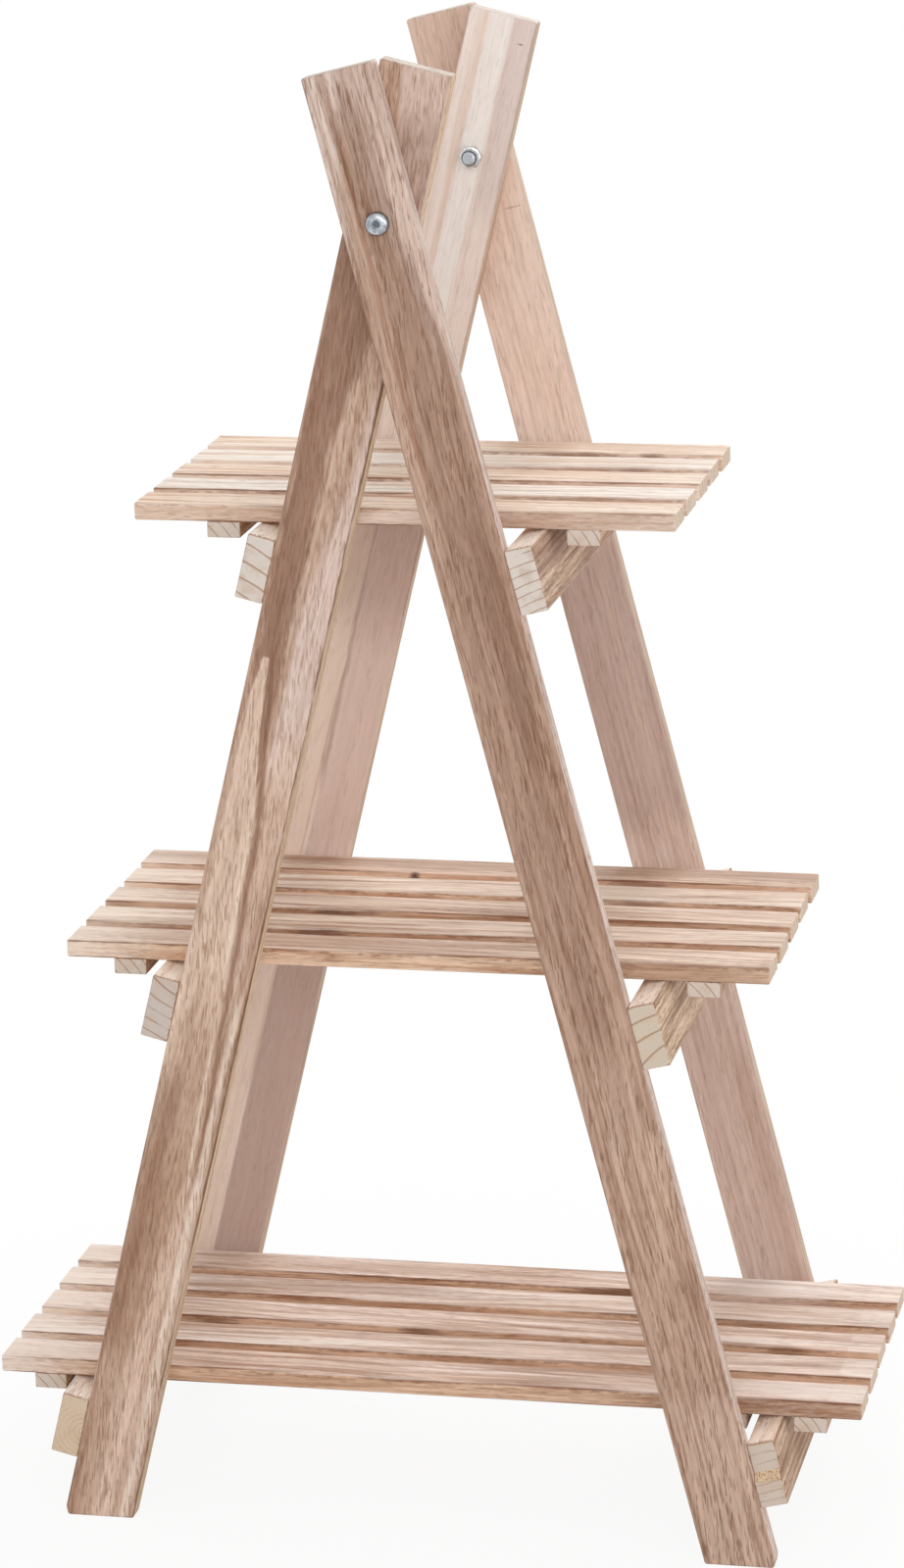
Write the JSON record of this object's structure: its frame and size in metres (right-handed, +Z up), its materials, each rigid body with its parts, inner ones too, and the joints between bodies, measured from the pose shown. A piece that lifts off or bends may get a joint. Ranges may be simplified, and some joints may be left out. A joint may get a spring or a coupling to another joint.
{
  "type": "plant ladder stand",
  "caption": "Folding wooden ladder stand: two pivoted ladder frames carrying lift-off slatted shelves that grow longer towards the floor.",
  "frame": {"origin": "on the floor, in the middle below the stand (bottom centre of the bounding box)", "axes": "+X along the shelves to the right, +Y from the front to the back, +Z up; the outer frame leans from top left to bottom right"},
  "size_m": [0.5638, 0.3126, 0.9457],
  "materials": {
    "leg_brown": "bare sawn paulownia board, pinkish brown, thin oil",
    "leg_dark": "bare sawn paulownia board, darker brown, thin oil",
    "leg_pale": "bare sawn paulownia board, pale cream",
    "leg_pink": "bare sawn paulownia board, pale pinkish tan",
    "crossbar_tan": "bare sawn softwood batten with saw marks",
    "slat_cream": "bare planed paulownia slat, cream",
    "slat_peach": "bare planed paulownia slat, peach",
    "batten_tan": "bare sawn batten",
    "zinc": "bright zinc-plated steel",
    "brad_wire": "plain steel wire brad, dull"
  },
  "bodies": {
    "outer_frame": {"front_outer_leg": "leg_brown", "rear_outer_leg": "leg_pink", "top_right_crossbar": "crossbar_tan", "middle_right_crossbar": "crossbar_tan", "bottom_right_crossbar": "crossbar_tan", "front_pivot_bolt": "zinc", "rear_pivot_bolt": "zinc", "front_lock_nut": "zinc", "rear_lock_nut": "zinc", "outer_frame_brads": "brad_wire"},
    "inner_frame": {"front_inner_leg": "leg_dark", "rear_inner_leg": "leg_pale", "top_left_crossbar": "crossbar_tan", "middle_left_crossbar": "crossbar_tan", "bottom_left_crossbar": "crossbar_tan", "inner_frame_brads": "brad_wire"},
    "top_shelf": {"top_shelf_slat_1": "slat_peach", "top_shelf_slat_2": "slat_cream", "top_shelf_slat_3": "slat_peach", "top_shelf_slat_4": "slat_cream", "top_shelf_slat_5": "slat_peach", "top_shelf_left_batten": "batten_tan", "top_shelf_right_batten": "batten_tan", "top_shelf_brads": "brad_wire"},
    "middle_shelf": {"middle_shelf_slat_1": "slat_peach", "middle_shelf_slat_2": "slat_cream", "middle_shelf_slat_3": "slat_peach", "middle_shelf_slat_4": "slat_cream", "middle_shelf_slat_5": "slat_peach", "middle_shelf_left_batten": "batten_tan", "middle_shelf_right_batten": "batten_tan", "middle_shelf_brads": "brad_wire"},
    "bottom_shelf": {"bottom_shelf_slat_1": "slat_peach", "bottom_shelf_slat_2": "slat_cream", "bottom_shelf_slat_3": "slat_peach", "bottom_shelf_slat_4": "slat_cream", "bottom_shelf_slat_5": "slat_peach", "bottom_shelf_left_batten": "batten_tan", "bottom_shelf_right_batten": "batten_tan", "bottom_shelf_inner_batten": "batten_tan", "bottom_shelf_brads": "brad_wire"}
  },
  "joints": [
    {"name": "frame_fold", "type": "hinge", "parent": "outer_frame", "child": "inner_frame", "pos_m": [0, 0, 0.849], "axis": [0, -1, 0], "range_deg": [0, 27.9]},
    {"name": "top_shelf_lift", "type": "slide", "parent": "outer_frame", "child": "top_shelf", "axis": [0, 0, 1], "range_m": [0, 0.3]},
    {"name": "middle_shelf_lift", "type": "slide", "parent": "outer_frame", "child": "middle_shelf", "axis": [0, 0, 1], "range_m": [0, 0.2]},
    {"name": "bottom_shelf_lift", "type": "slide", "parent": "outer_frame", "child": "bottom_shelf", "axis": [0, 0, 1], "range_m": [0, 0.2]}
  ]
}
